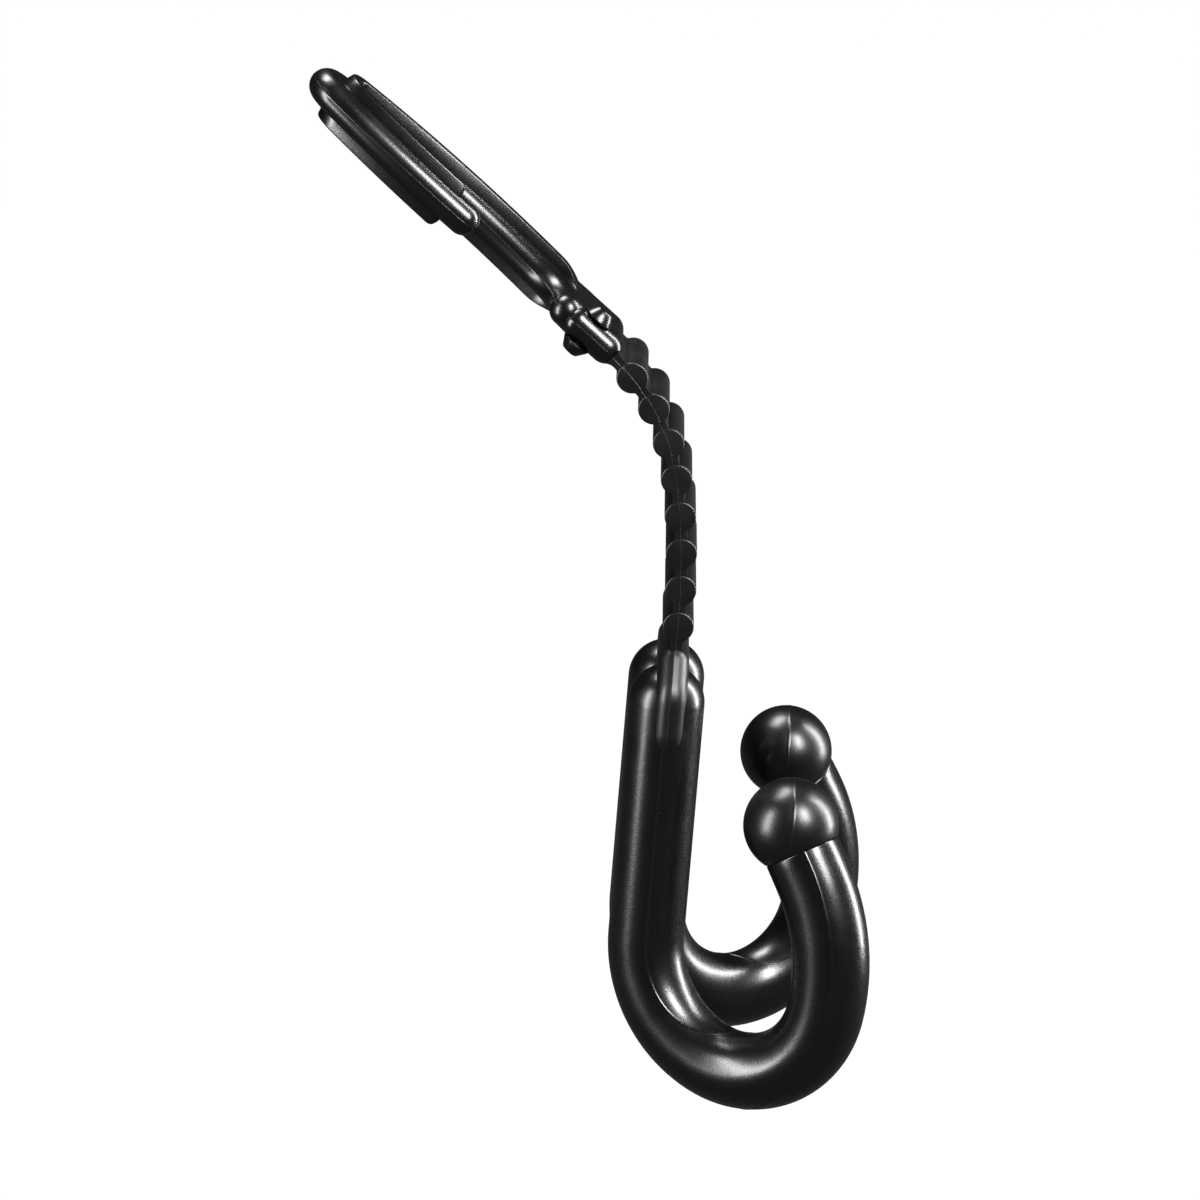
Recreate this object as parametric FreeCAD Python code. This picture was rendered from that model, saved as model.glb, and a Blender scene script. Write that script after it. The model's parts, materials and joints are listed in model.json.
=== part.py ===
import FreeCAD, Part
import math
import os
from FreeCAD import Placement, Rotation, Vector

# Hanging strap with an open snap hook at the top, a ribbed flexible strap, and a twin J-hook below.
# Lengths are millimetres and angles are degrees. The whole part is symmetrical about the plane Y = 0,
# apart from the mouth of the top hook, which opens towards -Y.

# ribbed strap
strap_width = 29.5
rung_diameter = 8.2
rung_pitch = 9.9
web_thickness = 3.0
# slope of each link from straight down, from the top hook to the strap root, with the strap hanging
link_slopes = [43.3, 34.2, 22.8, 12.2, 5.8, 1.8, -0.8, -3.5, -4.9]

# top hook: a round bar and a flat rib, each along its own path of four tangent arcs
hook_slope = 47.4
bar_radius = 4.3
bar_half_width = 10.6
bar_widest = 58.0
bar_top = 97.5
bar_top_radius = 5.2
bar_bottom = 14.0
bar_bottom_radius = 16.0
nose_height = 49.5
rib_width = 14.0
rib_thickness = 3.0
rib_half_width = 10.5
rib_widest = 53.0
rib_top = 92.8
rib_top_radius = 5.0
rib_bottom = 11.5
rib_bottom_radius = 13.0
rib_start_height = 54.0
rib_end_angle = 250.0

# base block between the top hook and the first web
base_thickness = 8.6
base_height = 13.0
base_edge_radius = 4.0

# stud through the near shoulder of the base
stud_height = 6.4
stud_offset = -10.6
stud_shank_radius = 2.0
stud_neck_radius = 4.0
stud_tip_radius = 2.3
stud_length = 14.4

# strap root, the fan-shaped plate that the two arms are moulded on
root_half_width_top = 15.2
root_half_width = 23.3
root_shoulder_drop = 10.0
root_side_drop = 25.0
root_length = 37.0
root_half_width_end = 11.0
root_edge_radius = 4.0

# arms: round tube along a straight stem and three arcs
arm_radius = 10.1
arm_slope = -4.54
arm_spacing = 23.3
arm_start_x = 15.8
arm_start_z = -94.96
stem_length = 63.4
arm_arcs = [(31.3, 72.8), (25.1, 98.3), (52.6, 40.9)]
tip_length = 6.7
arm_splay = 2.54
arm_toe = 28.8

# balls on the arm ends
ball_radius = 12.45
spigot_radius = 5.0
spigot_length = 9.0
fit_gap = 0.05

origin = Vector(0, 0, 0)
axis_x = Vector(1, 0, 0)
axis_y = Vector(0, 1, 0)
axis_z = Vector(0, 0, 1)


def slope_direction(slope):
    """Unit vector that points down a link of this slope."""
    angle = math.radians(slope)
    return Vector(math.sin(angle), 0, -math.cos(angle))


def turned(shape, axis, angle):
    return shape.transformed(Placement(origin, Rotation(axis, angle)).toMatrix())


def moved(shape, offset):
    return shape.transformed(Placement(offset, Rotation()).toMatrix())


def bar_across(centre, radius, width):
    """Cylinder along Y, centred on the plane Y = 0."""
    return Part.makeCylinder(radius, width, centre - axis_y * (width / 2), axis_y)


def pipe(edges, radius, direction):
    """Solid round bar along a tangent path that starts in this direction."""
    path = Part.Wire(edges)
    start = path.OrderedVertexes[0].Point
    ring = Part.Wire(Part.makeCircle(radius, start, direction))
    return path.makePipeShell([ring], True, False)


def arc_edge(centre, radius, first, last, point_at):
    """Arc between two angles, with a function that gives the point at an angle."""
    points = [point_at(centre, radius, angle) for angle in (first, (first + last) / 2, last)]
    return Part.Arc(*points).toShape()


def link_centres():
    """Centres of the base lobe, the rungs and the lobe of the strap root, in order."""
    centres = [origin]
    for slope in link_slopes:
        centres.append(centres[-1] + slope_direction(slope) * rung_pitch)
    return centres


def make_rung(centre):
    return bar_across(centre, rung_diameter / 2, strap_width)


def make_web(upper, lower):
    """Thin plate from the lobe above to the hinge line, midway between two lobes."""
    slope = math.degrees(math.atan2(lower.x - upper.x, upper.z - lower.z))
    half_pitch = rung_pitch / 2
    plate = Part.makeBox(web_thickness, strap_width, half_pitch,
                         Vector(-web_thickness / 2, -strap_width / 2, -half_pitch))
    plate = moved(turned(plate, axis_y, -slope), upper)
    return plate.cut(bar_across(upper, rung_diameter / 2, strap_width + 2))


def oval_point(centre, radius, angle):
    """Point of an arc of the top hook, drawn upright: 0 degrees is towards -Y and 90 degrees is up."""
    turn = math.radians(angle)
    return centre + Vector(0, -radius * math.cos(turn), radius * math.sin(turn))


def oval_arcs(half_width, widest, top, top_radius, bottom, bottom_radius, start_height, end_angle):
    """Centre, radius and two angles of the near side, the top, the far side and the bottom."""
    top_centre = Vector(0, 0, top - top_radius)
    rise = top_centre.z - widest
    slack = half_width - top_radius
    side_radius = (rise ** 2 + half_width ** 2 - top_radius ** 2) / (2 * slack)
    near_centre = Vector(0, side_radius - half_width, widest)
    far_centre = Vector(0, half_width - side_radius, widest)
    side_angle = math.degrees(math.asin(rise / (side_radius - top_radius)))
    start_angle = math.degrees(math.asin((start_height - widest) / side_radius))
    drop = widest - bottom - bottom_radius
    low_angle = math.degrees(math.asin(drop / (side_radius - bottom_radius)))
    reach = (side_radius - bottom_radius) * math.cos(math.radians(low_angle))
    bottom_centre = Vector(0, far_centre.y + reach, bottom + bottom_radius)
    return [
        (near_centre, side_radius, start_angle, side_angle),
        (top_centre, top_radius, side_angle, 180 - side_angle),
        (far_centre, side_radius, 180 - side_angle, 180 + low_angle),
        (bottom_centre, bottom_radius, 180 + low_angle, end_angle),
    ]


def oval_edges(arcs, offset=0):
    """The oval's arcs as edges, all offset outwards by this much."""
    return [arc_edge(centre, radius + offset, first, last, oval_point)
            for centre, radius, first, last in arcs]


def hook_rib():
    """Flat rib between two offset ovals, wider than the bar."""
    arcs = oval_arcs(rib_half_width, rib_widest, rib_top, rib_top_radius,
                     rib_bottom, rib_bottom_radius, rib_start_height, rib_end_angle)
    inner = oval_edges(arcs, -rib_thickness / 2)
    outer = oval_edges(arcs, rib_thickness / 2)
    caps = []
    for index, vertex in ((0, 0), (-1, -1)):
        ends = [edges[index].Vertexes[vertex].Point for edges in (inner, outer)]
        caps.append(Part.makeLine(*ends))
    outline = Part.Wire(Part.__sortEdges__(inner + outer + caps))
    face = Part.Face(outline)
    return moved(face, axis_x * (-rib_width / 2)).extrude(axis_x * rib_width)


def make_hook_frame():
    arcs = oval_arcs(bar_half_width, bar_widest, bar_top, bar_top_radius,
                     bar_bottom, bar_bottom_radius, nose_height, 270)
    path = oval_edges(arcs)
    bar = pipe(path, bar_radius, path[0].tangentAt(path[0].FirstParameter))
    nose = Part.makeSphere(bar_radius, path[0].Vertexes[0].Point)
    shoulder = Part.makeSphere(bar_radius, path[-1].Vertexes[-1].Point)
    return bar.fuse([nose, shoulder, hook_rib()]).removeSplitter()


def make_stud():
    """Shank with a tapered head on each face of the base."""
    centre = Vector(0, stud_offset, stud_height)
    half_base = base_thickness / 2
    head_length = stud_length / 2 - half_base
    shank = Part.makeCylinder(stud_shank_radius, base_thickness, centre - axis_x * half_base, axis_x)
    heads = []
    for side in (-1, 1):
        foot = centre + axis_x * (side * half_base)
        heads.append(Part.makeCone(stud_neck_radius, stud_tip_radius, head_length, foot, axis_x * side))
    return shank.fuse(heads).removeSplitter()


def make_base(hook_frame):
    """Rounded block with the lobe that carries the first web, cut out round the top hook."""
    half_base = base_thickness / 2
    block = Part.makeBox(base_thickness, strap_width, base_height,
                         Vector(-half_base, -strap_width / 2, 0))
    long_edges = [edge for edge in block.Edges
                  if abs(edge.Vertexes[0].Z - edge.Vertexes[-1].Z) > base_height / 2]
    block = block.makeFillet(base_edge_radius, long_edges)
    block = block.fuse(bar_across(origin, half_base, strap_width))
    shank_hole = Part.makeCylinder(stud_shank_radius, base_thickness * 2,
                                   Vector(-base_thickness, stud_offset, stud_height), axis_x)
    return block.cut([hook_frame, shank_hole])


def make_root(lobe_centre):
    """Fan-shaped plate with a rounded edge, drawn in the YZ plane and hung at the arms' slope."""
    outline = [(root_half_width_top, 0), (root_half_width, -root_shoulder_drop),
               (root_half_width, -root_side_drop), (root_half_width_end, -root_length)]
    corners = [Vector(0, y, z) for y, z in outline] + [Vector(0, -y, z) for y, z in reversed(outline)]
    plate = Part.Face(Part.makePolygon(corners + corners[:1]))
    plate = moved(plate, axis_x * (-rung_diameter / 2)).extrude(axis_x * rung_diameter)
    upright = [edge for edge in plate.Edges
               if abs(edge.Vertexes[0].X - edge.Vertexes[-1].X) > rung_diameter / 2]
    side_corners = [edge for edge in upright if edge.Vertexes[0].Z < -1]
    plate = plate.makeFillet(9.0, side_corners)
    rim = [edge for edge in plate.Edges
           if abs(abs(edge.BoundBox.XMin) - rung_diameter / 2) < 1e-3
           and edge.BoundBox.XLength < 1e-3 and edge.BoundBox.ZMin < -1e-3]
    plate = plate.makeFillet(root_edge_radius, rim)
    return moved(turned(plate, axis_y, -arm_slope), lobe_centre)


def arm_path():
    """Centre line of an arm in the XZ plane, and the point and direction where it ends."""
    place = origin
    heading = -90.0
    edges = [Part.makeLine(place, place - axis_z * stem_length)]
    place = place - axis_z * stem_length
    for radius, sweep in arm_arcs:
        side = math.radians(heading + 90)
        centre = place + Vector(math.cos(side), 0, math.sin(side)) * radius
        points = [place]
        for part in (0.5, 1.0):
            turn = side + math.pi + math.radians(sweep * part)
            points.append(centre + Vector(math.cos(turn), 0, math.sin(turn)) * radius)
        edges.append(Part.Arc(*points).toShape())
        place = points[-1]
        heading += sweep
    along = Vector(math.cos(math.radians(heading)), 0, math.sin(math.radians(heading)))
    edges.append(Part.makeLine(place, place + along * tip_length))
    return edges, place + along * tip_length, along


def arm_placed(shape):
    """Toes the arm out, splays it, leans it like the strap root and moves it to its place."""
    shape = turned(shape, axis_z, -arm_toe)
    shape = turned(shape, axis_x, -arm_splay)
    shape = turned(shape, axis_y, -arm_slope)
    return moved(shape, Vector(arm_start_x, -arm_spacing / 2, arm_start_z))


def make_arm(root):
    """Arm with a domed top, slotted round the strap root and bored for the ball's spigot."""
    edges, end, along = arm_path()
    tube = pipe(edges, arm_radius, axis_z).fuse(Part.makeSphere(arm_radius, origin))
    socket = Part.makeCylinder(spigot_radius + fit_gap, spigot_length + fit_gap, end, along * -1)
    return arm_placed(tube.cut(socket)).cut(root)


def make_ball():
    """Ball with a flat seat on the arm's end and a spigot."""
    edges, end, along = arm_path()
    seat_offset = math.sqrt(ball_radius ** 2 - arm_radius ** 2)
    ball = Part.makeSphere(ball_radius, end + along * seat_offset)
    seat = Part.makeCylinder(ball_radius * 2, ball_radius, end, along * -1)
    spigot = Part.makeCylinder(spigot_radius, spigot_length, end, along * -1)
    return arm_placed(ball.cut(seat).fuse(spigot).removeSplitter())


def hooked(shape):
    """Leans a piece of the top hook back from upright."""
    return turned(shape, axis_y, -hook_slope)


def build():
    centres = link_centres()
    nodes = {}
    hook_frame = make_hook_frame()
    stud = make_stud()
    base = make_base(hook_frame)
    nodes["hook_frame"] = hooked(hook_frame.cut(stud))
    nodes["hook_base"] = hooked(base.cut(stud))
    nodes["base_stud"] = hooked(stud)
    for number, (upper, lower) in enumerate(zip(centres, centres[1:]), start=1):
        nodes[f"web_{number}"] = make_web(upper, lower)
        if lower is not centres[-1]:
            nodes[f"rung_{number}"] = make_rung(lower)
    base_lobe = bar_across(origin, base_thickness / 2, strap_width + 2)
    nodes["web_1"] = nodes["web_1"].cut(base_lobe)
    root = make_root(centres[-1] + axis_z * (rung_diameter / 2))
    nodes["strap_root"] = root
    arm = make_arm(root)
    ball = make_ball()
    for name, shape in (("arm", arm), ("ball", ball)):
        nodes[f"{name}_near"] = shape
        nodes[f"{name}_far"] = shape.mirror(origin, axis_y)
    return nodes, centres


nodes, centres = build()

# The row's origin is the seat of the top hook: the middle of the rib's inner face at the top.
seat = turned(Part.Vertex(0, 0, rib_top - rib_thickness / 2), axis_y, -hook_slope).Point

os.makedirs("parts", exist_ok=True)
for name, shape in nodes.items():
    placed = moved(shape, seat * -1)
    print(f"{name}: {len(placed.Solids)} solid, valid {placed.isValid()}, volume {placed.Volume:.0f} mm3")
    placed.exportStep(f"parts/{name}.step")
for number, (upper, lower) in enumerate(zip(centres, centres[1:]), start=1):
    hinge = (upper + lower) * 0.5 - seat
    print(f"hinge line {number}: x {hinge.x:.3f}, z {hinge.z:.3f}")
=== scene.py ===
import json
import math
import bmesh
import bpy
from mathutils import Matrix, Vector


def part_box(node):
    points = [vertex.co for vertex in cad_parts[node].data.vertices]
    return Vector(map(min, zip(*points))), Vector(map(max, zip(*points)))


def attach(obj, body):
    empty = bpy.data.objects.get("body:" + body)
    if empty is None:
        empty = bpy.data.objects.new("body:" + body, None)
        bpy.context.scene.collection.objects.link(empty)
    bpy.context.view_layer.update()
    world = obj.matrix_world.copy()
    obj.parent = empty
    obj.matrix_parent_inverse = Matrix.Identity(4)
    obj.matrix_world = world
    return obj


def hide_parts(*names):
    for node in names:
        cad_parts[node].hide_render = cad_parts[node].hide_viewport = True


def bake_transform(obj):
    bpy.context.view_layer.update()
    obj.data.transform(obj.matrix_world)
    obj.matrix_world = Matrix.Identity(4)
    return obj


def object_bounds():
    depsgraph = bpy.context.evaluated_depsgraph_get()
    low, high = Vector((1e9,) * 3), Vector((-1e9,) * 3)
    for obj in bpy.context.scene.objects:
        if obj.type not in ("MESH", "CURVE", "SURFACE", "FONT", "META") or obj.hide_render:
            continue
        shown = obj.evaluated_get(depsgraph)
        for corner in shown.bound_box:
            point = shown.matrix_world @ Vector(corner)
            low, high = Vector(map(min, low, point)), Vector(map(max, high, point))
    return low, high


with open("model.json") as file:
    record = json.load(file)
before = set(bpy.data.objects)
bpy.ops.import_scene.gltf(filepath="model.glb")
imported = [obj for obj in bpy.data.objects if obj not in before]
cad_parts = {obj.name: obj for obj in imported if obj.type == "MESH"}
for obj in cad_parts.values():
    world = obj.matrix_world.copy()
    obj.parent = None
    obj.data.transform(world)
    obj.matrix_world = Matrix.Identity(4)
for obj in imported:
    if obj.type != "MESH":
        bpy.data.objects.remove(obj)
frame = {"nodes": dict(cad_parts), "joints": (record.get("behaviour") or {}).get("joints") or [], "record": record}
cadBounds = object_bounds()
print("frame loaded:", len(frame["nodes"]), "nodes")

mm = 0.001
axisX, axisY, axisZ = Vector((1, 0, 0)), Vector((0, 1, 0)), Vector((0, 0, 1))
hinges = [Vector(joint["pos_m"]) for joint in frame["joints"]]  # web hinge lines, from the top hook down


cameraLook = {
    "aimFromFirstHinge": Vector((-5.1, 0.0, -67.0)) * mm,
    "distance": 1.315,
    "pitch": 15.96,
    "yaw": 0.87,
    "lens": 150.0,
}


def makeCamera(look):
    pitch, yaw = math.radians(look["pitch"]), math.radians(look["yaw"])
    back = Vector((math.sin(yaw) * math.cos(pitch), -math.cos(yaw) * math.cos(pitch), math.sin(pitch)))
    data = bpy.data.cameras.new("studioCamera")
    data.lens = look["lens"]
    data.sensor_width = 36.0
    data.clip_end = 20.0
    camera = bpy.data.objects.new("studioCamera", data)
    camera.location = hinges[0] + look["aimFromFirstHinge"] + back * look["distance"]
    camera.rotation_euler = back.to_track_quat("Z", "Y").to_euler()
    bpy.context.scene.collection.objects.link(camera)
    bpy.context.scene.camera = camera


makeCamera(cameraLook)
print("camera placed")


def addNode(tree, kind, inputs=None, **settings):
    # inputs are named, or numbered where a node has several of one name
    node = tree.nodes.new(kind)
    for key, value in settings.items():
        setattr(node, key, value)
    for key, value in (inputs or {}).items():
        socket = node.inputs[key]
        if isinstance(value, bpy.types.NodeSocket):
            tree.links.new(value, socket)
        else:
            socket.default_value = value
    return node


def addMath(tree, operation, *values, clamp=False):
    node = addNode(tree, "ShaderNodeMath", dict(enumerate(values)), operation=operation, use_clamp=clamp)
    return node.outputs[0]


def newGroup(name, kind, inputs, outputs):
    # a node group with its named sockets, and its two end nodes
    group = bpy.data.node_groups.new(name, kind)
    for label, socketType, value in inputs:
        socket = group.interface.new_socket(name=label, in_out="INPUT", socket_type=socketType)
        if value is not None:
            socket.default_value = value
    for label, socketType in outputs:
        group.interface.new_socket(name=label, in_out="OUTPUT", socket_type=socketType)
    return group, group.nodes.new("NodeGroupInput"), group.nodes.new("NodeGroupOutput")


def makeGrainGroup():
    # spark-eroded mould grain over a faint orange peel
    group, source, out = newGroup(
        "mouldGrain", "ShaderNodeTree",
        [("Scale", "NodeSocketFloat", 2400.0), ("Grain", "NodeSocketFloat", 0.7),
         ("Peel", "NodeSocketFloat", 1.0)],
        [("Height", "NodeSocketFloat"), ("Pits", "NodeSocketFloat")])
    place = addNode(group, "ShaderNodeTexCoord").outputs["Object"]
    cells = addNode(group, "ShaderNodeTexVoronoi",
                    {"Vector": place, "Scale": source.outputs["Scale"], "Randomness": 1.0},
                    feature="SMOOTH_F1").outputs["Distance"]
    fine = addNode(group, "ShaderNodeTexNoise",
                   {"Vector": place, "Scale": addMath(group, "MULTIPLY", source.outputs["Scale"], 1.7),
                    "Detail": 2.0, "Roughness": 0.6}).outputs["Fac"]
    peel = addNode(group, "ShaderNodeTexNoise",
                   {"Vector": place, "Scale": addMath(group, "MULTIPLY", source.outputs["Scale"], 0.09),
                    "Detail": 1.5}).outputs["Fac"]
    grain = addMath(group, "ADD", addMath(group, "MULTIPLY", cells, 0.8),
                    addMath(group, "MULTIPLY", fine, 0.7))
    height = addMath(group, "MULTIPLY_ADD", grain, source.outputs["Grain"],
                     addMath(group, "MULTIPLY", peel, source.outputs["Peel"]))
    group.links.new(height, out.inputs["Height"])
    group.links.new(addNode(group, "ShaderNodeMapRange",
                            {"Value": fine, "From Min": 0.3, "From Max": 0.7}).outputs[0], out.inputs["Pits"])
    return group


def makeHandlingGroup():
    # handling marks: broad uneven polish, and a few specks of dust
    group, source, out = newGroup(
        "handlingMarks", "ShaderNodeTree",
        [("Scale", "NodeSocketFloat", 60.0), ("Dust", "NodeSocketFloat", 0.3)],
        [("Polish", "NodeSocketFloat"), ("Dust", "NodeSocketFloat")])
    place = addNode(group, "ShaderNodeTexCoord").outputs["Object"]
    broad = addNode(group, "ShaderNodeTexNoise",
                    {"Vector": place, "Scale": source.outputs["Scale"], "Detail": 5.0, "Roughness": 0.62,
                     "Distortion": 0.6}).outputs["Fac"]
    polish = addNode(group, "ShaderNodeMapRange",
                     {"Value": broad, "From Min": 0.32, "From Max": 0.68}).outputs[0]
    specks = addNode(group, "ShaderNodeTexVoronoi",
                     {"Vector": place, "Scale": addMath(group, "MULTIPLY", source.outputs["Scale"], 4.5),
                      "Randomness": 1.0}).outputs["Distance"]
    speck = addNode(group, "ShaderNodeMapRange",
                    {"Value": specks, "From Min": 0.045, "From Max": 0.02}).outputs[0]
    patchy = addNode(group, "ShaderNodeMapRange",
                     {"Value": broad, "From Min": 0.55, "From Max": 0.66}).outputs[0]
    dust = addMath(group, "MULTIPLY", addMath(group, "MULTIPLY", speck, patchy),
                   source.outputs["Dust"], clamp=True)
    group.links.new(polish, out.inputs["Polish"])
    group.links.new(dust, out.inputs["Dust"])
    return group


grainGroup = makeGrainGroup()
handlingGroup = makeHandlingGroup()


def makePlastic(name, look):
    material = bpy.data.materials.new(name)
    material.use_nodes = True
    tree = material.node_tree
    shader = tree.nodes["Principled BSDF"]
    grain = addNode(tree, "ShaderNodeGroup", node_tree=grainGroup)
    handling = addNode(tree, "ShaderNodeGroup", node_tree=handlingGroup)
    for node, values in ((grain, look["grain"]), (handling, look["handling"])):
        for key, value in values.items():
            node.inputs[key].default_value = value
    tone = addNode(tree, "ShaderNodeMix", {6: look["deep"], 7: look["worn"], 0: handling.outputs["Polish"]},
                   data_type="RGBA").outputs[2]
    dusty = addNode(tree, "ShaderNodeMix", {6: tone, 7: look["dustColor"], 0: handling.outputs["Dust"]},
                    data_type="RGBA").outputs[2]
    low, high = look["roughness"]
    rough = addNode(tree, "ShaderNodeMapRange",
                    {"Value": handling.outputs["Polish"], "To Min": high, "To Max": low}).outputs[0]
    rough = addMath(tree, "MULTIPLY_ADD", grain.outputs["Pits"], look["pitRoughness"], rough)
    bump = addNode(tree, "ShaderNodeBump", {"Strength": look["bump"], "Distance": look["depth"],
                                            "Height": grain.outputs["Height"]}).outputs["Normal"]
    tree.links.new(dusty, shader.inputs["Base Color"])
    tree.links.new(rough, shader.inputs["Roughness"])
    tree.links.new(bump, shader.inputs["Normal"])
    shader.inputs["IOR"].default_value = look["ior"]
    return material


hookPlastic = makePlastic("hookPlastic", {
    "deep": (0.0009, 0.0009, 0.0010, 1), "worn": (0.0018, 0.0018, 0.0019, 1),
    "dustColor": (0.5, 0.5, 0.5, 1),
    "roughness": (0.21, 0.29), "pitRoughness": 0.05, "bump": 1.0, "depth": 0.000022, "ior": 1.53,
    "grain": {"Scale": 2500.0, "Grain": 0.75, "Peel": 0.5}, "handling": {"Scale": 70.0, "Dust": 0.5}})
strapRubber = makePlastic("strapRubber", {
    "deep": (0.0008, 0.0008, 0.0008, 1), "worn": (0.0017, 0.0015, 0.0015, 1),
    "dustColor": (0.3, 0.28, 0.26, 1),
    "roughness": (0.30, 0.40), "pitRoughness": 0.08, "bump": 1.0, "depth": 0.000028, "ior": 1.50,
    "grain": {"Scale": 2900.0, "Grain": 0.9, "Peel": 0.4}, "handling": {"Scale": 90.0, "Dust": 0.25}})
armPlastic = makePlastic("armPlastic", {
    "deep": (0.0009, 0.0009, 0.0010, 1), "worn": (0.0018, 0.0018, 0.0019, 1),
    "dustColor": (0.45, 0.45, 0.45, 1),
    "roughness": (0.21, 0.29), "pitRoughness": 0.05, "bump": 1.0, "depth": 0.000020, "ior": 1.53,
    "grain": {"Scale": 2200.0, "Grain": 0.7, "Peel": 0.6}, "handling": {"Scale": 45.0, "Dust": 0.2}})
ballPlastic = makePlastic("ballPlastic", {
    "deep": (0.0009, 0.0009, 0.0010, 1), "worn": (0.0018, 0.0018, 0.0019, 1),
    "dustColor": (0.45, 0.45, 0.45, 1),
    "roughness": (0.25, 0.33), "pitRoughness": 0.06, "bump": 1.0, "depth": 0.000022, "ior": 1.52,
    "grain": {"Scale": 2400.0, "Grain": 0.8, "Peel": 0.5}, "handling": {"Scale": 60.0, "Dust": 0.2}})
materialOfSlot = {"hook_plastic": hookPlastic, "strap_rubber": strapRubber,
                  "arm_plastic": armPlastic, "ball_plastic": ballPlastic}
slotOfNode = {part["node"]: part["material_slot"] for part in frame["record"]["subparts"]}
for nodeName, cadNode in frame["nodes"].items():
    cadNode.data.materials.clear()
    cadNode.data.materials.append(materialOfSlot[slotOfNode[nodeName]])
print("materials made")


mergeDistance = 0.002 * mm


def finishMesh(name, mesh, slotName, sharpAngle=38):
    # closed mesh to a smooth-shaded piece with its normals outwards
    work = bmesh.new()
    work.from_mesh(mesh)
    bmesh.ops.remove_doubles(work, verts=work.verts, dist=mergeDistance)
    bmesh.ops.recalc_face_normals(work, faces=work.faces)
    work.to_mesh(mesh)
    work.free()
    mesh.shade_smooth()
    mesh.set_sharp_from_angle(angle=math.radians(sharpAngle))
    mesh.materials.clear()
    mesh.materials.append(materialOfSlot[slotName])
    piece = bpy.data.objects.new(name, mesh)
    bpy.context.scene.collection.objects.link(piece)
    return piece


def loftMesh(name, rings):
    # closed skin over rings of equal count, with a cap at each end
    count = len(rings[0])
    verts = [point for ring in rings for point in ring]
    faces = []
    for row in range(len(rings) - 1):
        for step in range(count):
            after = (step + 1) % count
            faces.append((row * count + step, row * count + after,
                          (row + 1) * count + after, (row + 1) * count + step))
    faces.append(tuple(reversed(range(count))))
    faces.append(tuple(range((len(rings) - 1) * count, len(rings) * count)))
    mesh = bpy.data.meshes.new(name)
    mesh.from_pydata(verts, [], faces)
    return mesh


def seamAngles(count, seam):
    # profile angles, with extra ones that carry the two parting lines
    angles = [360.0 * step / count for step in range(count)]
    for centre in (0.0, 180.0):
        for share in (0.5, 1.0, 1.7):
            spread = math.degrees(seam["halfWidth"] * share / seam["radius"])
            angles += [(centre + spread) % 360, (centre - spread) % 360]
    return sorted(set(round(angle, 5) for angle in angles))


def seamLift(angle, seam):
    away = min(abs((angle + 90) % 180 - 90), 90)
    arc = math.radians(away) * seam["radius"]
    return seam["height"] * math.exp(-(arc / seam["halfWidth"]) ** 2)


def sweptRings(path, radiusAt, mouldAxis, angles, seam):
    # rings round (point, tangent) pairs, turned so that angle 0 lies on the parting line
    rings = []
    for index, (point, tangent) in enumerate(path):
        side = tangent.cross(mouldAxis).normalized()
        over = tangent.cross(side)
        radius = radiusAt(index)
        ring = []
        for angle in angles:
            turn = math.radians(angle)
            reach = radius + seamLift(angle, seam) * min(1.0, radius / seam["radius"])
            ring.append(point + (side * math.cos(turn) + over * math.sin(turn)) * reach)
        rings.append(ring)
    return rings


def domed(path, radius, steps, atStart=True, atEnd=True):
    # adds a hemisphere of rings to either end of a path; returns the path and its radii
    poleGap = 0.15  # share of a step left open at the pole
    turns = [math.radians(90.0 * (step + poleGap) / (steps + poleGap)) for step in range(steps)]
    point, tangent = path[0]
    before = [(point - tangent * radius * math.cos(turn), tangent, radius * math.sin(turn)) for turn in turns]
    point, tangent = path[-1]
    after = [(point + tangent * radius * math.cos(turn), tangent, radius * math.sin(turn))
             for turn in reversed(turns)]
    whole = (before if atStart else []) + [(p, t, radius) for p, t in path] + (after if atEnd else [])
    return [(p, t) for p, t, r in whole], [r for p, t, r in whole]


strapLook = {
    "rungEdge": 0.45 * mm,
    "seamRadius": 0.13 * mm,
    "lengthSteps": 61,
    "roundSteps": 72,
    "webThickness": 3.0 * mm,
    "webFlare": 0.75 * mm,
    "webReach": 2.4 * mm,
    "webGap": 1.15 * mm,
    "webInset": 0.2 * mm,
}


def placeAndPaint(tree, geometry, take, out):
    # leans what was made to its slope, moves it to its centre and gives it its material
    lean = addMath(tree, "MULTIPLY", take["Slope"], -1.0)
    spin = addNode(tree, "ShaderNodeCombineXYZ", {"Y": lean}).outputs[0]
    placed = addNode(tree, "GeometryNodeTransform",
                     {"Geometry": geometry, "Translation": take["Centre"], "Rotation": spin})
    real = addNode(tree, "GeometryNodeRealizeInstances", {"Geometry": placed.outputs[0]})
    painted = addNode(tree, "GeometryNodeSetMaterial",
                      {"Geometry": real.outputs[0], "Material": take["Material"]})
    tree.links.new(painted.outputs[0], out.inputs[0])


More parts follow.
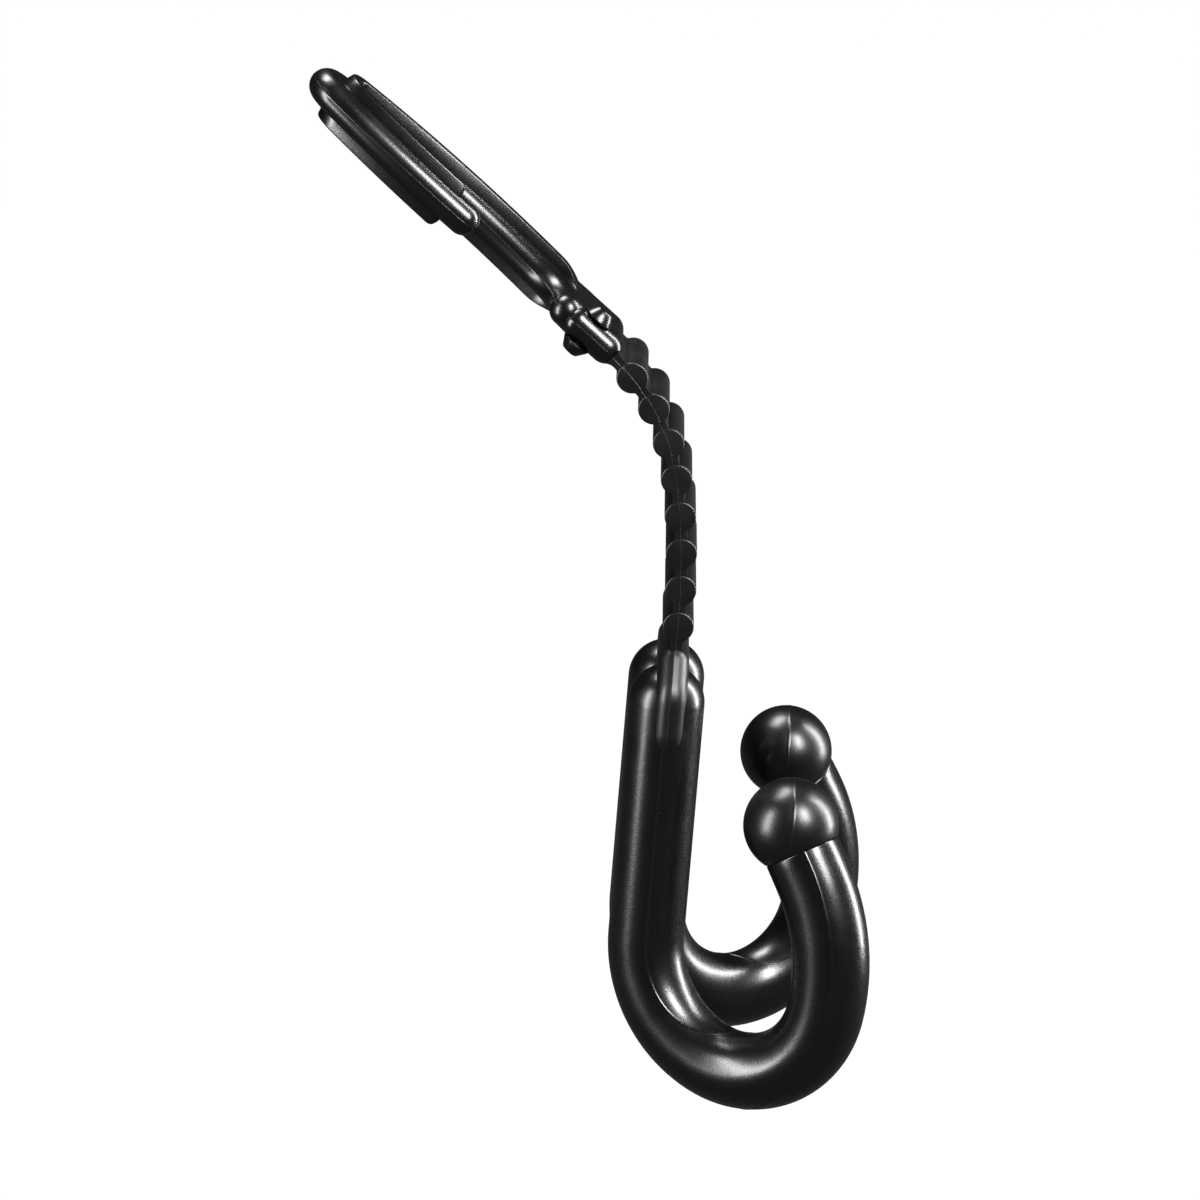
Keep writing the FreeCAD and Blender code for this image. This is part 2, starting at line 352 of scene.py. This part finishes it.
def makeRungTree():
    # round bar across the strap with softened ends, and a parting line down each end face
    tree, source, out = newGroup(
        "strapRungTree", "GeometryNodeTree",
        [("Centre", "NodeSocketVector", None), ("Slope", "NodeSocketFloat", 0.0),
         ("Radius", "NodeSocketFloat", 0.004), ("Half Width", "NodeSocketFloat", 0.0147),
         ("Edge", "NodeSocketFloat", 0.0005),
         ("Seam Radius", "NodeSocketFloat", 0.0001), ("Length Steps", "NodeSocketInt", 61),
         ("Round Steps", "NodeSocketInt", 72), ("Material", "NodeSocketMaterial", None)],
        [("Geometry", "NodeSocketGeometry")])
    take = source.outputs
    line = addNode(tree, "GeometryNodeCurvePrimitiveLine", {"Start": (0, -1, 0), "End": (0, 1, 0)})
    spine = addNode(tree, "GeometryNodeResampleCurve",
                    {"Curve": line.outputs[0], "Count": take["Length Steps"]}).outputs[0]
    # points crowd towards the ends, where the edge is rounded
    factor = addNode(tree, "GeometryNodeSplineParameter").outputs["Factor"]
    wave = addMath(tree, "COSINE", addMath(tree, "MULTIPLY", factor, math.pi))
    along = addMath(tree, "MULTIPLY", wave, -1.0)
    reach = addMath(tree, "MULTIPLY", along, take["Half Width"])
    spread = addNode(tree, "ShaderNodeCombineXYZ", {"Y": reach}).outputs[0]
    spine = addNode(tree, "GeometryNodeSetPosition", {"Geometry": spine, "Position": spread})
    position = addNode(tree, "GeometryNodeInputPosition").outputs[0]
    sideways = addNode(tree, "ShaderNodeSeparateXYZ", {0: position}).outputs["Y"]
    inward = addMath(tree, "SUBTRACT", take["Half Width"], addMath(tree, "ABSOLUTE", sideways))
    share = addMath(tree, "SUBTRACT", 1.0, addMath(tree, "DIVIDE", inward, take["Edge"]), clamp=True)
    bulge = addMath(tree, "SQRT", addMath(tree, "SUBTRACT", 1.0, addMath(tree, "MULTIPLY", share, share)))
    scale = addMath(tree, "MULTIPLY_ADD", bulge, take["Edge"],
                    addMath(tree, "SUBTRACT", take["Radius"], take["Edge"]))
    circle = addNode(tree, "GeometryNodeCurvePrimitiveCircle",
                     {"Resolution": take["Round Steps"], "Radius": 1.0})
    bar = addNode(tree, "GeometryNodeCurveToMesh",
                  {"Curve": spine.outputs[0], "Profile Curve": circle.outputs[0],
                   "Scale": scale, "Fill Caps": True})
    parts = [bar.outputs[0]]
    shortened = addMath(tree, "SUBTRACT", take["Radius"], take["Edge"])
    for side in (-1.0, 1.0):
        face = addMath(tree, "MULTIPLY", take["Half Width"], side)
        heights = [addMath(tree, "MULTIPLY", shortened, end) for end in (-1.0, 1.0)]
        ends = [addNode(tree, "ShaderNodeCombineXYZ", {"Y": face, "Z": height}).outputs[0]
                for height in heights]
        ridge = addNode(tree, "GeometryNodeCurvePrimitiveLine", {"Start": ends[0], "End": ends[1]})
        thread = addNode(tree, "GeometryNodeCurvePrimitiveCircle", {"Resolution": 8, "Radius": 1.0})
        flash = addNode(tree, "GeometryNodeCurveToMesh",
                        {"Curve": ridge.outputs[0], "Profile Curve": thread.outputs[0],
                         "Scale": take["Seam Radius"], "Fill Caps": True})
        parts.append(flash.outputs[0])
    join = addNode(tree, "GeometryNodeJoinGeometry")
    for part in parts:
        tree.links.new(part, join.inputs[0])
    placeAndPaint(tree, join.outputs[0], take, out)
    return tree


def makeWebTree():
    # thin plate between two rungs, thicker where it runs into them, with a parting line on each edge
    tree, source, out = newGroup(
        "strapWebTree", "GeometryNodeTree",
        [("Centre", "NodeSocketVector", None), ("Slope", "NodeSocketFloat", 0.0),
         ("Length", "NodeSocketFloat", 0.005), ("Width", "NodeSocketFloat", 0.0292),
         ("Thickness", "NodeSocketFloat", 0.003),
         ("Flare", "NodeSocketFloat", 0.0007), ("Seam Radius", "NodeSocketFloat", 0.0001),
         ("Material", "NodeSocketMaterial", None)],
        [("Geometry", "NodeSocketGeometry")])
    take = source.outputs
    size = addNode(tree, "ShaderNodeCombineXYZ",
                   {"X": take["Thickness"], "Y": take["Width"], "Z": take["Length"]})
    plate = addNode(tree, "GeometryNodeMeshCube",
                    {"Size": size.outputs[0], "Vertices X": 5, "Vertices Y": 33, "Vertices Z": 25}).outputs[0]
    position = addNode(tree, "GeometryNodeInputPosition").outputs[0]
    spot = addNode(tree, "ShaderNodeSeparateXYZ", {0: position}).outputs
    halfLength = addMath(tree, "MULTIPLY", take["Length"], 0.5)
    share = addMath(tree, "ABSOLUTE", addMath(tree, "DIVIDE", spot["Z"], halfLength))
    flared = addMath(tree, "MULTIPLY", addMath(tree, "POWER", share, 2.5), take["Flare"])
    halfThickness = addMath(tree, "MULTIPLY", take["Thickness"], 0.5)
    across = addMath(tree, "DIVIDE", spot["X"], halfThickness)
    lift = addMath(tree, "MULTIPLY", across, flared)
    swell = addNode(tree, "ShaderNodeCombineXYZ", {"X": lift}).outputs[0]
    plate = addNode(tree, "GeometryNodeSetPosition", {"Geometry": plate, "Offset": swell})
    join = addNode(tree, "GeometryNodeJoinGeometry")
    tree.links.new(plate.outputs[0], join.inputs[0])
    for side in (-0.5, 0.5):
        edge = addMath(tree, "MULTIPLY", take["Width"], side)
        heights = [addMath(tree, "MULTIPLY", halfLength, end) for end in (-1.0, 1.0)]
        ends = [addNode(tree, "ShaderNodeCombineXYZ", {"Y": edge, "Z": height}).outputs[0]
                for height in heights]
        ridge = addNode(tree, "GeometryNodeCurvePrimitiveLine", {"Start": ends[0], "End": ends[1]})
        ridge = addNode(tree, "GeometryNodeResampleCurve", {"Curve": ridge.outputs[0], "Count": 13})
        thread = addNode(tree, "GeometryNodeCurvePrimitiveCircle", {"Resolution": 8, "Radius": 1.0})
        flash = addNode(tree, "GeometryNodeCurveToMesh",
                        {"Curve": ridge.outputs[0], "Profile Curve": thread.outputs[0],
                         "Scale": take["Seam Radius"], "Fill Caps": True})
        tree.links.new(flash.outputs[0], join.inputs[0])
    placeAndPaint(tree, join.outputs[0], take, out)
    return tree


def runTree(name, tree, values, slotName):
    # one plain mesh from a tree, with the modifier gone
    holder = bpy.data.objects.new(name + "Maker", bpy.data.meshes.new(name + "Maker"))
    bpy.context.scene.collection.objects.link(holder)
    modifier = holder.modifiers.new("maker", "NODES")
    modifier.node_group = tree
    names = {item.name: item.identifier for item in tree.interface.items_tree if item.in_out == "INPUT"}
    for label, value in values.items():
        modifier[names[label]] = value
    modifier[names["Material"]] = materialOfSlot[slotName]
    bpy.context.view_layer.update()
    result = bpy.data.meshes.new_from_object(holder.evaluated_get(bpy.context.evaluated_depsgraph_get()))
    holder.modifiers.clear()
    bpy.data.objects.remove(holder)
    result.name = name
    return finishMesh(name, result, slotName)


def makeStrap(look):
    rungTree, webTree = makeRungTree(), makeWebTree()
    halfWidth = (strapHigh.y - strapLow.y) / 2
    radius = (strapHigh.z - strapLow.z) / 2
    centres = []
    for number in range(1, len(hinges)):
        low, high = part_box(f"rung_{number}")
        centres.append((low + high) / 2)
    baseCentre = hinges[0] * 2 - centres[0]
    rootCentre = hinges[-1] * 2 - centres[-1]
    stops = [baseCentre] + centres + [rootCentre]
    slopes = [math.atan2(b.x - a.x, a.z - b.z) for a, b in zip(stops, stops[1:])]
    for number, centre in enumerate(centres, start=1):
        slope = (slopes[number - 1] + slopes[number]) / 2
        rung = runTree(f"strapRung_{number}", rungTree,
                       {"Centre": centre, "Slope": slope, "Radius": radius, "Half Width": halfWidth,
                        "Edge": look["rungEdge"], "Seam Radius": look["seamRadius"],
                        "Length Steps": look["lengthSteps"], "Round Steps": look["roundSteps"]},
                       "strap_rubber")
        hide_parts(f"rung_{number}")
        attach(rung, f"link_{number}")
    for number, (hinge, slope) in enumerate(zip(hinges, slopes), start=1):
        web = runTree(f"strapWeb_{number}", webTree,
                      {"Centre": hinge, "Slope": slope, "Length": look["webReach"] * 2,
                       "Width": halfWidth * 2 - look["webInset"], "Thickness": look["webThickness"],
                       "Flare": look["webFlare"], "Seam Radius": look["seamRadius"]}, "strap_rubber")
        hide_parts(f"web_{number}")
        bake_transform(web)
    return stops


strapLow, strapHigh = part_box("rung_1")
strapStops = makeStrap(strapLook)
print("strap made: 8 rungs and 9 webs")


hookLook = {
    "slope": 47.4,
    "seatHeight": 91.3 * mm,
    "barRadius": 4.3 * mm,
    "bar": {"halfWidth": 10.6 * mm, "widest": 58.0 * mm, "top": 97.5 * mm, "topRadius": 5.2 * mm,
            "bottom": 14.0 * mm, "bottomRadius": 16.0 * mm, "start": 49.5 * mm, "endAngle": 270.0},
    "rib": {"halfWidth": 10.5 * mm, "widest": 53.0 * mm, "top": 92.8 * mm, "topRadius": 5.0 * mm,
            "bottom": 11.5 * mm, "bottomRadius": 13.0 * mm, "start": 54.0 * mm, "endAngle": 250.0},
    # half of the rib's section: distance from the middle plane, and half thickness there
    "ribSection": [(7.0 * mm, 1.35 * mm), (3.3 * mm, 2.45 * mm)],
    "ribCorner": 0.5 * mm,
    "ribEndRound": 2.0 * mm,
    "ribFoot": {"length": 13.0 * mm, "halfWidth": 4.2 * mm},
    "roundSteps": 56,
    "domeSteps": 14,
    "sectionSteps": 4,
    "seam": {"radius": 4.3 * mm, "height": 0.09 * mm, "halfWidth": 0.16 * mm},
}
hookLook["place"] = (Matrix.Rotation(math.radians(-hookLook["slope"]), 4, "Y")
                     @ Matrix.Translation((0, 0, -hookLook["seatHeight"])))


def ovalPath(oval):
    # (point, tangent) pairs of the oval, upright in the YZ plane, from the nose to the near shoulder
    halfWidth, widest = oval["halfWidth"], oval["widest"]
    topRadius, bottomRadius = oval["topRadius"], oval["bottomRadius"]
    topHeight = oval["top"] - topRadius
    rise = topHeight - widest
    sideRadius = (rise ** 2 + halfWidth ** 2 - topRadius ** 2) / (2 * (halfWidth - topRadius))
    sideAngle = math.degrees(math.asin(rise / (sideRadius - topRadius)))
    startAngle = math.degrees(math.asin((oval["start"] - widest) / sideRadius))
    bottomHeight = oval["bottom"] + bottomRadius
    lowAngle = math.degrees(math.asin((widest - bottomHeight) / (sideRadius - bottomRadius)))
    reach = (sideRadius - bottomRadius) * math.cos(math.radians(lowAngle))
    offset = sideRadius - halfWidth
    arcs = [
        (Vector((0, offset, widest)), sideRadius, startAngle, sideAngle, 0.25),
        (Vector((0, 0, topHeight)), topRadius, sideAngle, 180 - sideAngle, 4.0),
        (Vector((0, -offset, widest)), sideRadius, 180 - sideAngle, 180 + lowAngle, 0.5),
        (Vector((0, reach - offset, bottomHeight)), bottomRadius, 180 + lowAngle, oval["endAngle"], 2.5),
    ]
    path = []
    for centre, radius, first, last, step in arcs:
        count = max(2, round((last - first) / step))
        for index in range(1 if path else 0, count + 1):
            turn = math.radians(first + (last - first) * index / count)
            point = centre + Vector((0, -math.cos(turn), math.sin(turn))) * radius
            path.append((point, Vector((0, math.sin(turn), math.cos(turn)))))
    return path


def roundedCorners(corners, radii, steps):
    # closed 2-D outline with an arc at each corner; gives (point, outward normal) pairs
    outline = []
    count = len(corners)
    for index, (corner, radius) in enumerate(zip(corners, radii)):
        before, after = Vector(corners[index - 1]), Vector(corners[(index + 1) % count])
        here = Vector(corner)
        inTo, outOf = (here - before).normalized(), (after - here).normalized()
        turn = inTo.angle_signed(outOf)
        inNormal = Vector((-inTo.y, inTo.x))
        if abs(turn) < 1e-6 or radius == 0:
            outline.append((here, inNormal))
            continue
        cut = radius * math.tan(abs(turn) / 2)
        start = here - inTo * cut
        bend = 1 if turn < 0 else -1  # counter-clockwise outlines turn with bend 1
        centre = start + inNormal * radius * bend
        for part in range(steps + 1):
            angle = abs(turn) * part / steps * bend
            spoke = start - centre
            spun = Vector((spoke.x * math.cos(angle) - spoke.y * math.sin(angle),
                           spoke.x * math.sin(angle) + spoke.y * math.cos(angle)))
            outline.append((centre + spun, spun.normalized() * bend))
    return outline


def makeHookBar(look):
    path = ovalPath(look["bar"])
    path, radii = domed(path, look["barRadius"], look["domeSteps"])
    angles = seamAngles(look["roundSteps"], look["seam"])
    rings = sweptRings(path, lambda index: radii[index], axisX, angles, look["seam"])
    mesh = loftMesh("hookBar", rings)
    mesh.transform(look["place"])
    piece = finishMesh("hookBar", mesh, "hook_plastic")
    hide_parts("hook_frame")
    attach(piece, "hanger")
    return piece


def makeHookRib(look):
    # flat rib with slanted faces, rounded corners at its free end, and a foot that narrows into the base
    path = ovalPath(look["rib"])
    (wide, thin), (close, thick) = look["ribSection"]
    foot = look["ribFoot"]
    corners = [(-wide, -thin), (-close, -thick), (close, -thick), (wide, -thin),
               (wide, thin), (close, thick), (-close, thick), (-wide, thin)]
    corner = look["ribCorner"]
    section = roundedCorners(corners, [corner, 0, 0, corner, corner, 0, 0, corner], look["sectionSteps"])
    rings = []
    for point, tangent in path:
        outward = tangent.cross(axisX).normalized()
        short = max(0.0, 1 - (point - path[0][0]).length / look["ribEndRound"])
        pulled = 1 - look["ribEndRound"] * (1 - math.sqrt(1 - short ** 2)) / wide
        near = max(0.0, 1 - (point - path[-1][0]).length / foot["length"])
        pulled -= (1 - foot["halfWidth"] / wide) * near * near * (3 - 2 * near)
        rings.append([point + axisX * (place.x * pulled) + outward * place.y for place, normal in section])
    mesh = loftMesh("hookRib", rings)
    mesh.transform(look["place"])
    piece = finishMesh("hookRib", mesh, "hook_plastic", 30)
    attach(piece, "hanger")
    return piece


makeHookBar(hookLook)
makeHookRib(hookLook)
print("top hook made")


baseLook = {
    "halfWidth": 14.75 * mm,
    "halfThickness": 4.3 * mm,
    "top": 13.0 * mm,
    "cornerRadius": 4.5 * mm,
    "shoulderRadius": 3.6 * mm,
    # the far shoulder's rise to the bar, as distance across and height
    "rise": [(10.6 * mm, 13.3 * mm), (8.9 * mm, 15.2 * mm), (7.6 * mm, 18.5 * mm)],
    "barMargin": 1.0 * mm,
    "layers": 12,
    "cornerSteps": 12,
    "seam": {"height": 0.09 * mm, "halfWidth": 0.16 * mm},
    "studOffset": -10.6 * mm,
    "studHeight": 6.4 * mm,
    # distance from the middle plane and radius, both in mm, from the head's tip to the shank
    "studProfile": [(7.2, 1.75), (7.1, 2.1), (6.85, 2.38), (4.6, 3.85), (4.3, 3.95), (4.0, 3.6), (4.0, 2.0)],
    "studSteps": 48,
}


def pillowMesh(name, outline, weights, halfThickness, layers, seam):
    # plate across X with a full-round rim: each layer is the outline drawn in along its normals
    rings = []
    turns = [-90 + 180.0 * step / (2 * layers) for step in range(2 * layers + 1)]
    turns = sorted(set(turns + [-2.2, -1.2, 1.2, 2.2]))  # more layers beside the parting line
    for turn in turns:
        angle = math.radians(turn)
        inset = halfThickness * (1 - math.cos(angle))
        lift = seam["height"] * math.exp(-(angle * halfThickness / seam["halfWidth"]) ** 2)
        depth = Vector((halfThickness * math.sin(angle), 0, 0))
        rings.append([depth + Vector((0, place.x, place.y))
                      + Vector((0, normal.x, normal.y)) * ((lift - inset) * weight)
                      for (place, normal), weight in zip(outline, weights)])
    return loftMesh(name, rings)


def makeBase(look):
    # the top edge follows the bar's centre line, inside the bar
    bar = [point for point, tangent in ovalPath(hookLook["bar"])
           if point.z < look["rise"][-1][1] and point.y > look["barMargin"] - look["halfWidth"]]
    under = look["rise"] + [(point.y, point.z) for point in bar]
    corners = [(-look["halfWidth"], -look["halfThickness"]), (look["halfWidth"], -look["halfThickness"]),
               (look["halfWidth"], look["top"])] + under + [(-look["halfWidth"], look["top"])]
    radii = ([look["cornerRadius"], look["cornerRadius"], look["shoulderRadius"]]
             + [0] * len(under) + [look["shoulderRadius"]])
    outline = roundedCorners(corners, radii, look["cornerSteps"])
    hidden = {(round(point.y, 7), round(point.z, 7)) for point in bar}
    weights = [0.0 if (round(place.x, 7), round(place.y, 7)) in hidden else 1.0 for place, normal in outline]
    mesh = pillowMesh("hookBaseBlock", outline, weights, look["halfThickness"], look["layers"], look["seam"])
    mesh.transform(hookLook["place"])
    piece = finishMesh("hookBaseBlock", mesh, "hook_plastic", 45)
    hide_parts("hook_base")
    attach(piece, "hanger")


def makeStud(look):
    # turned profile, the same on both faces of the base
    half = [(x * mm, radius * mm) for x, radius in look["studProfile"]]
    profile = half + [(-x, radius) for x, radius in reversed(half)]
    centre = Vector((0, look["studOffset"], look["studHeight"]))
    turns = [2 * math.pi * step / look["studSteps"] for step in range(look["studSteps"])]
    rings = []
    for x, radius in profile:
        rings.append([centre + Vector((x, radius * math.cos(turn), radius * math.sin(turn)))
                      for turn in turns])
    mesh = loftMesh("baseStud", rings)
    mesh.transform(hookLook["place"])
    piece = finishMesh("baseStud", mesh, "hook_plastic", 30)
    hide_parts("base_stud")
    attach(piece, "hanger")


makeBase(baseLook)
makeStud(baseLook)
print("base and stud made")


rootLook = {
    "slope": -4.54,
    "halfWidthTop": 15.2 * mm,
    "halfWidth": 23.3 * mm,
    "shoulderDrop": 10.0 * mm,
    "sideDrop": 25.0 * mm,
    "length": 37.0 * mm,
    "halfWidthEnd": 11.0 * mm,
    "halfThickness": 4.1 * mm,
    "topCorner": 4.6 * mm,
    "sideCorner": 9.0 * mm,
    "endCorner": 6.0 * mm,
    "layers": 12,
    "cornerSteps": 10,
    "seam": {"height": 0.1 * mm, "halfWidth": 0.18 * mm},
}


def makeRoot(look, lobeCentre):
    halves = [(look["halfWidthTop"], 0.0), (look["halfWidth"], -look["shoulderDrop"]),
              (look["halfWidth"], -look["sideDrop"]), (look["halfWidthEnd"], -look["length"])]
    corners = [(-y, z) for y, z in halves] + [(y, z) for y, z in reversed(halves)]
    side = [look["topCorner"], look["sideCorner"], look["sideCorner"], look["endCorner"]]
    outline = roundedCorners(corners, side + side[::-1], look["cornerSteps"])
    mesh = pillowMesh("strapRoot", outline, [1.0] * len(outline), look["halfThickness"],
                      look["layers"], look["seam"])
    top = lobeCentre + axisZ * look["halfThickness"]
    mesh.transform(Matrix.Translation(top) @ Matrix.Rotation(math.radians(-look["slope"]), 4, "Y"))
    piece = finishMesh("strapRootPlate", mesh, "strap_rubber", 45)
    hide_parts("strap_root")
    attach(piece, "twin_hook")


makeRoot(rootLook, strapStops[-1])
print("strap root made")


armLook = {
    "radius": 10.1 * mm,
    "slope": -4.54,
    "spacing": 23.3 * mm,
    "start": Vector((15.8, 0, -94.96)) * mm,
    "stem": 63.4 * mm,
    "arcs": [(31.3 * mm, 72.8), (25.1 * mm, 98.3), (52.6 * mm, 40.9)],
    "tip": 6.7 * mm,
    "splay": 2.54,
    "toe": 28.8,
    "endRound": 0.5 * mm,
    "stemSteps": 20,
    "arcStep": 2.5,
    "domeSteps": 18,
    "endSteps": 5,
    "roundSteps": 96,
    "ballRadius": 12.45 * mm,
    "ballRows": 59,
    "ballReach": 87.0,
    "seam": {"radius": 10.1 * mm, "height": 0.10 * mm, "halfWidth": 0.18 * mm},
}


def armCentreLine(look):
    # (point, tangent) pairs of the arm in its own XZ plane, from the dome down and round to the ball
    steps = look["stemSteps"]
    path = [(Vector((0, 0, -look["stem"] * step / steps)), -axisZ) for step in range(steps)]
    place, heading = Vector((0, 0, -look["stem"])), -90.0
    for radius, sweep in look["arcs"]:
        side = math.radians(heading + 90)
        centre = place + Vector((math.cos(side), 0, math.sin(side))) * radius
        count = round(sweep / look["arcStep"])
        for step in range(count):
            turn = side + math.pi + math.radians(sweep * step / count)
            point = centre + Vector((math.cos(turn), 0, math.sin(turn))) * radius
            path.append((point, Vector((-math.sin(turn), 0, math.cos(turn)))))
        turn = side + math.pi + math.radians(sweep)
        place = centre + Vector((math.cos(turn), 0, math.sin(turn))) * radius
        heading += sweep
    along = Vector((math.cos(math.radians(heading)), 0, math.sin(math.radians(heading))))
    for share in (0.0, 0.3, 0.6, 1.0):
        path.append((place + along * (look["tip"] - look["endRound"]) * share, along))
    return path, place + along * look["tip"], along


def armPlace(look, baseCentre):
    return (Matrix.Translation(baseCentre + look["start"] - axisY * look["spacing"] / 2)
            @ Matrix.Rotation(math.radians(-look["slope"]), 4, "Y")
            @ Matrix.Rotation(math.radians(-look["splay"]), 4, "X")
            @ Matrix.Rotation(math.radians(-look["toe"]), 4, "Z"))


def makeArms(look, baseCentre):
    place = armPlace(look, baseCentre)
    turnOnly = place.to_3x3()
    mouldAxis = turnOnly.inverted() @ (Matrix.Rotation(math.radians(-look["slope"]), 3, "Y") @ axisX)
    path, end, along = armCentreLine(look)
    path, radii = domed(path, look["radius"], look["domeSteps"], atEnd=False)
    for part in range(1, look["endSteps"] + 1):  # small round at the arm's end
        turn = math.radians(90.0 * part / look["endSteps"])
        last = end - along * look["endRound"] * (1 - math.sin(turn))
        path.append((last, along))
        radii.append(look["radius"] - look["endRound"] * (1 - math.cos(turn)))
    angles = seamAngles(look["roundSteps"], look["seam"])
    armRings = sweptRings(path, lambda index: radii[index], mouldAxis, angles, look["seam"])
    centre = end + along * math.sqrt(look["ballRadius"] ** 2 - look["radius"] ** 2)
    ballRings = makeBallRings(look, centre, mouldAxis, along)
    mirror = Matrix.Scale(-1, 4, axisY)
    for side, flip in (("near", Matrix.Identity(4)), ("far", mirror)):
        mesh = loftMesh(f"arm_{side}", armRings)
        mesh.transform(flip @ place)
        arm = finishMesh(f"hookArm_{side}", mesh, "arm_plastic", 50)
        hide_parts(f"arm_{side}")
        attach(arm, "twin_hook")
        mesh = loftMesh(f"ball_{side}", ballRings)
        cutFlat(mesh, end, along)
        mesh.transform(flip @ place)
        ball = finishMesh(f"hookBall_{side}", mesh, "ball_plastic", 50)
        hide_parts(f"ball_{side}")
        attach(ball, "twin_hook")


def makeBallRings(look, centre, mouldAxis, along):
    # latitudes about the mould's axis, so that the parting line is the equator
    radius, seam = look["ballRadius"], look["seam"]
    first = mouldAxis.cross(along).normalized()
    second = mouldAxis.cross(first)
    reach, spaces, steps = look["ballReach"], look["ballRows"] - 1, look["roundSteps"]
    latitudes = [-reach + 2 * reach * step / spaces for step in range(spaces + 1)]
    latitudes = sorted(set(latitudes + [-1.6, -0.8, -0.4, 0.4, 0.8, 1.6, -89.7, 89.7]))
    rings = []
    for latitude in latitudes:
        angle = math.radians(latitude)
        lift = seam["height"] * math.exp(-(angle * radius / seam["halfWidth"]) ** 2)
        ring = []
        for step in range(steps):
            turn = 2 * math.pi * step / steps
            spoke = first * math.cos(turn) + second * math.sin(turn)
            ring.append(centre + (mouldAxis * math.sin(angle) + spoke * math.cos(angle)) * (radius + lift))
        rings.append(ring)
    return rings


def cutFlat(mesh, point, along):
    # takes off what lies behind the seat and closes the cut
    work = bmesh.new()
    work.from_mesh(mesh)
    cut = bmesh.ops.bisect_plane(work, geom=work.verts[:] + work.edges[:] + work.faces[:], dist=1e-7,
                                 plane_co=point, plane_no=along, clear_inner=True)
    rim = [item for item in cut["geom_cut"] if isinstance(item, bmesh.types.BMEdge)]
    bmesh.ops.contextual_create(work, geom=rim)
    work.to_mesh(mesh)
    work.free()


makeArms(armLook, strapStops[0])
print("arms and balls made")


stageLook = {
    "floorDrop": 0.10,
    "floorSize": 12.0,
    "floorGlow": 1.0,
    "floorBounce": 0.05,
    "world": 0.02,
    "target": (0.07, 0, -0.13),
    "lights": [
        # name, position, width, height, watts
        ("keySoftbox", (0.56, -0.56, 0.38), 0.22, 0.45, 16.0),
        ("leftSoftbox", (-0.80, -0.50, 0.12), 0.20, 0.9, 16.0),
        ("rightStrip", (0.85, 0.20, 0.05), 0.12, 1.1, 18.0),
        ("topSoftbox", (-0.15, 0.25, 0.85), 0.5, 0.30, 12.0),
    ],
}


def makeStage(look):
    low, high = cadBounds
    scene = bpy.context.scene
    scene.view_settings.view_transform = "Standard"
    mesh = bpy.data.meshes.new("studioFloor")
    half, drop = look["floorSize"] / 2, low.z - look["floorDrop"]
    mesh.from_pydata([(-half, -half, drop), (half, -half, drop), (half, half, drop), (-half, half, drop)], [],
                     [(0, 1, 2, 3)])
    floor = bpy.data.objects.new("studioFloor", mesh)
    scene.collection.objects.link(floor)
    # floor and world are pale to the camera and dim in reflections, so that black plastic stays black
    material = bpy.data.materials.new("studioFloor")
    material.use_nodes = True
    tree = material.node_tree
    shader = tree.nodes["Principled BSDF"]
    shader.inputs["Base Color"].default_value = (0.02, 0.02, 0.02, 1)
    shader.inputs["Roughness"].default_value = 1.0
    shader.inputs["Specular IOR Level"].default_value = 0.0
    shader.inputs["Emission Color"].default_value = (1, 1, 1, 1)
    seen = addNode(tree, "ShaderNodeLightPath").outputs["Is Camera Ray"]
    glow = addMath(tree, "MULTIPLY_ADD", seen, look["floorGlow"] - look["floorBounce"], look["floorBounce"])
    tree.links.new(glow, shader.inputs["Emission Strength"])
    mesh.materials.append(material)
    world = bpy.data.worlds.new("studioWorld")
    world.use_nodes = True
    tree = world.node_tree
    sky = tree.nodes["Background"]
    sky.inputs["Color"].default_value = (1, 1, 1, 1)
    seen = addNode(tree, "ShaderNodeLightPath").outputs["Is Camera Ray"]
    strength = addMath(tree, "MULTIPLY_ADD", seen, 1.0 - look["world"], look["world"])
    tree.links.new(strength, sky.inputs["Strength"])
    scene.world = world
    target = Vector(look["target"])
    for name, place, width, height, watts in look["lights"]:
        data = bpy.data.lights.new(name, "AREA")
        data.shape = "RECTANGLE"
        data.size, data.size_y = width, height
        data.energy = watts
        lamp = bpy.data.objects.new(name, data)
        lamp.location = place
        lamp.rotation_euler = (Vector(place) - target).to_track_quat("Z", "Y").to_euler()
        scene.collection.objects.link(lamp)


makeStage(stageLook)
print("stage made")
